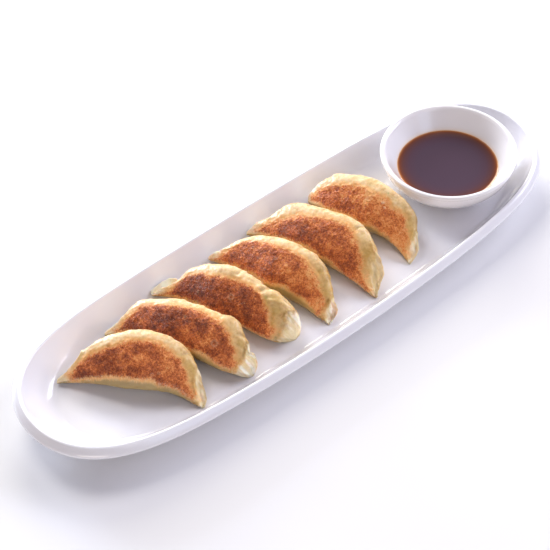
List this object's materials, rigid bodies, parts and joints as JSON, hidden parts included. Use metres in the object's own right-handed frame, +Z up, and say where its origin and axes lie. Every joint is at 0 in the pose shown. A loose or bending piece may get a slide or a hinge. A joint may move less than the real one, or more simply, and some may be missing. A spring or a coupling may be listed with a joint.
{
  "type": "pan-fried dumplings on an oval plate",
  "caption": "Long oval porcelain plate holding a row of pan-fried crescent dumplings, browned side up, with a small round dipping bowl of soy sauce at one end.",
  "frame": {"origin": "middle of the plate's foot, on the surface it stands on", "axes": "+X along the plate towards the dipping bowl, +Y across the plate towards the dumplings' high, convex side, +Z up"},
  "size_m": [0.3696, 0.1176, 0.0314],
  "materials": {
    "plate_porcelain": "glossy white glaze",
    "bowl_porcelain": "glossy white glaze",
    "soy": "wet, dark red-brown liquid surface",
    "fried_dough": "slightly oily, speckled browned crust over pale dough"
  },
  "bodies": {
    "root": {"plate": "plate_porcelain", "sauce_bowl": "bowl_porcelain", "soy_sauce": "soy", "gyoza_1": "fried_dough", "gyoza_2": "fried_dough", "gyoza_3": "fried_dough", "gyoza_4": "fried_dough", "gyoza_5": "fried_dough", "gyoza_6": "fried_dough"}
  },
  "joints": []
}
